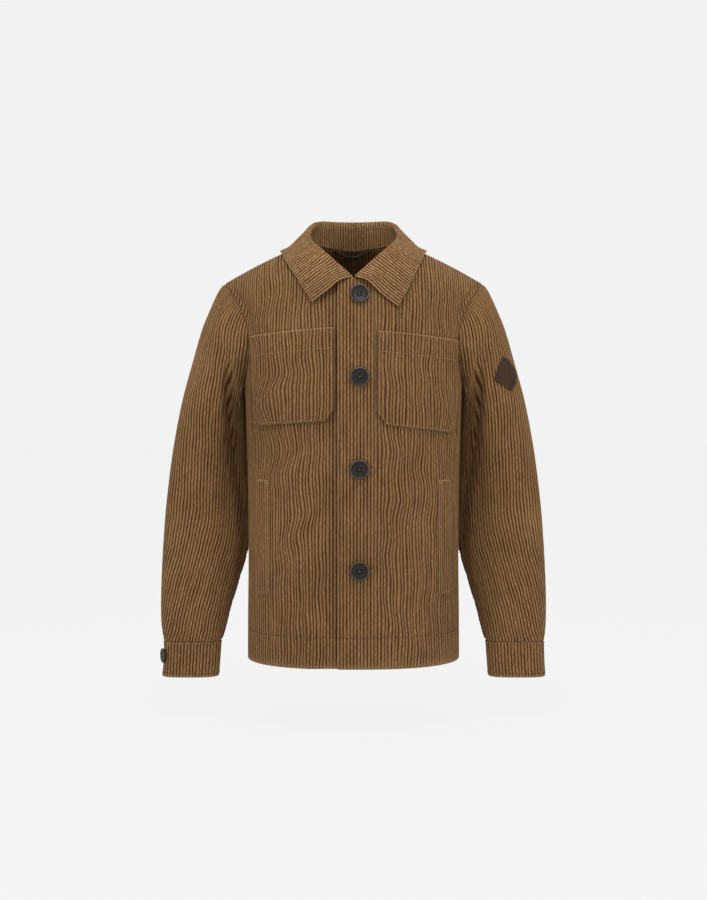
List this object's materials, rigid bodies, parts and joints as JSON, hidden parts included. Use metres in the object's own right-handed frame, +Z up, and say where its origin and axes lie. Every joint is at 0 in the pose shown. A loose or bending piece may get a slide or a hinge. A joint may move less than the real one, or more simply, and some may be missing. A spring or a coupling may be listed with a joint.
{
  "type": "shirt jacket",
  "caption": "Wide-wale corduroy shirt jacket, hollow and filled out as worn, buttoned, with a turned-down collar, patch chest pockets, side welt pockets and buttoned cuffs.",
  "frame": {"origin": "the middle of the neck's base, level with the highest points of the shoulders", "axes": "+X towards the wearer's left, +Y towards the wearer's back, +Z up"},
  "size_m": [0.6317, 0.2723, 0.7476],
  "materials": {
    "corduroy": "wide-wale cotton corduroy, brown, matt ribs with a soft nap",
    "button": "charcoal, satin, slightly marbled",
    "patch": "dark brown leather, bare, matt",
    "loop_tape": "dark brown twill tape"
  },
  "bodies": {
    "root": {"back": "corduroy", "front_left": "corduroy", "front_right": "corduroy", "sleeve_left": "corduroy", "sleeve_right": "corduroy", "cuff_left": "corduroy", "cuff_right": "corduroy", "collar_stand": "corduroy", "collar_leaf": "corduroy", "chest_pocket_left": "corduroy", "chest_pocket_right": "corduroy", "side_welt_left": "corduroy", "side_welt_right": "corduroy", "hanger_loop": "loop_tape", "sleeve_patch": "patch", "button_1": "button", "button_2": "button", "button_3": "button", "button_4": "button", "cuff_button_left": "button", "cuff_button_right": "button"}
  },
  "joints": []
}
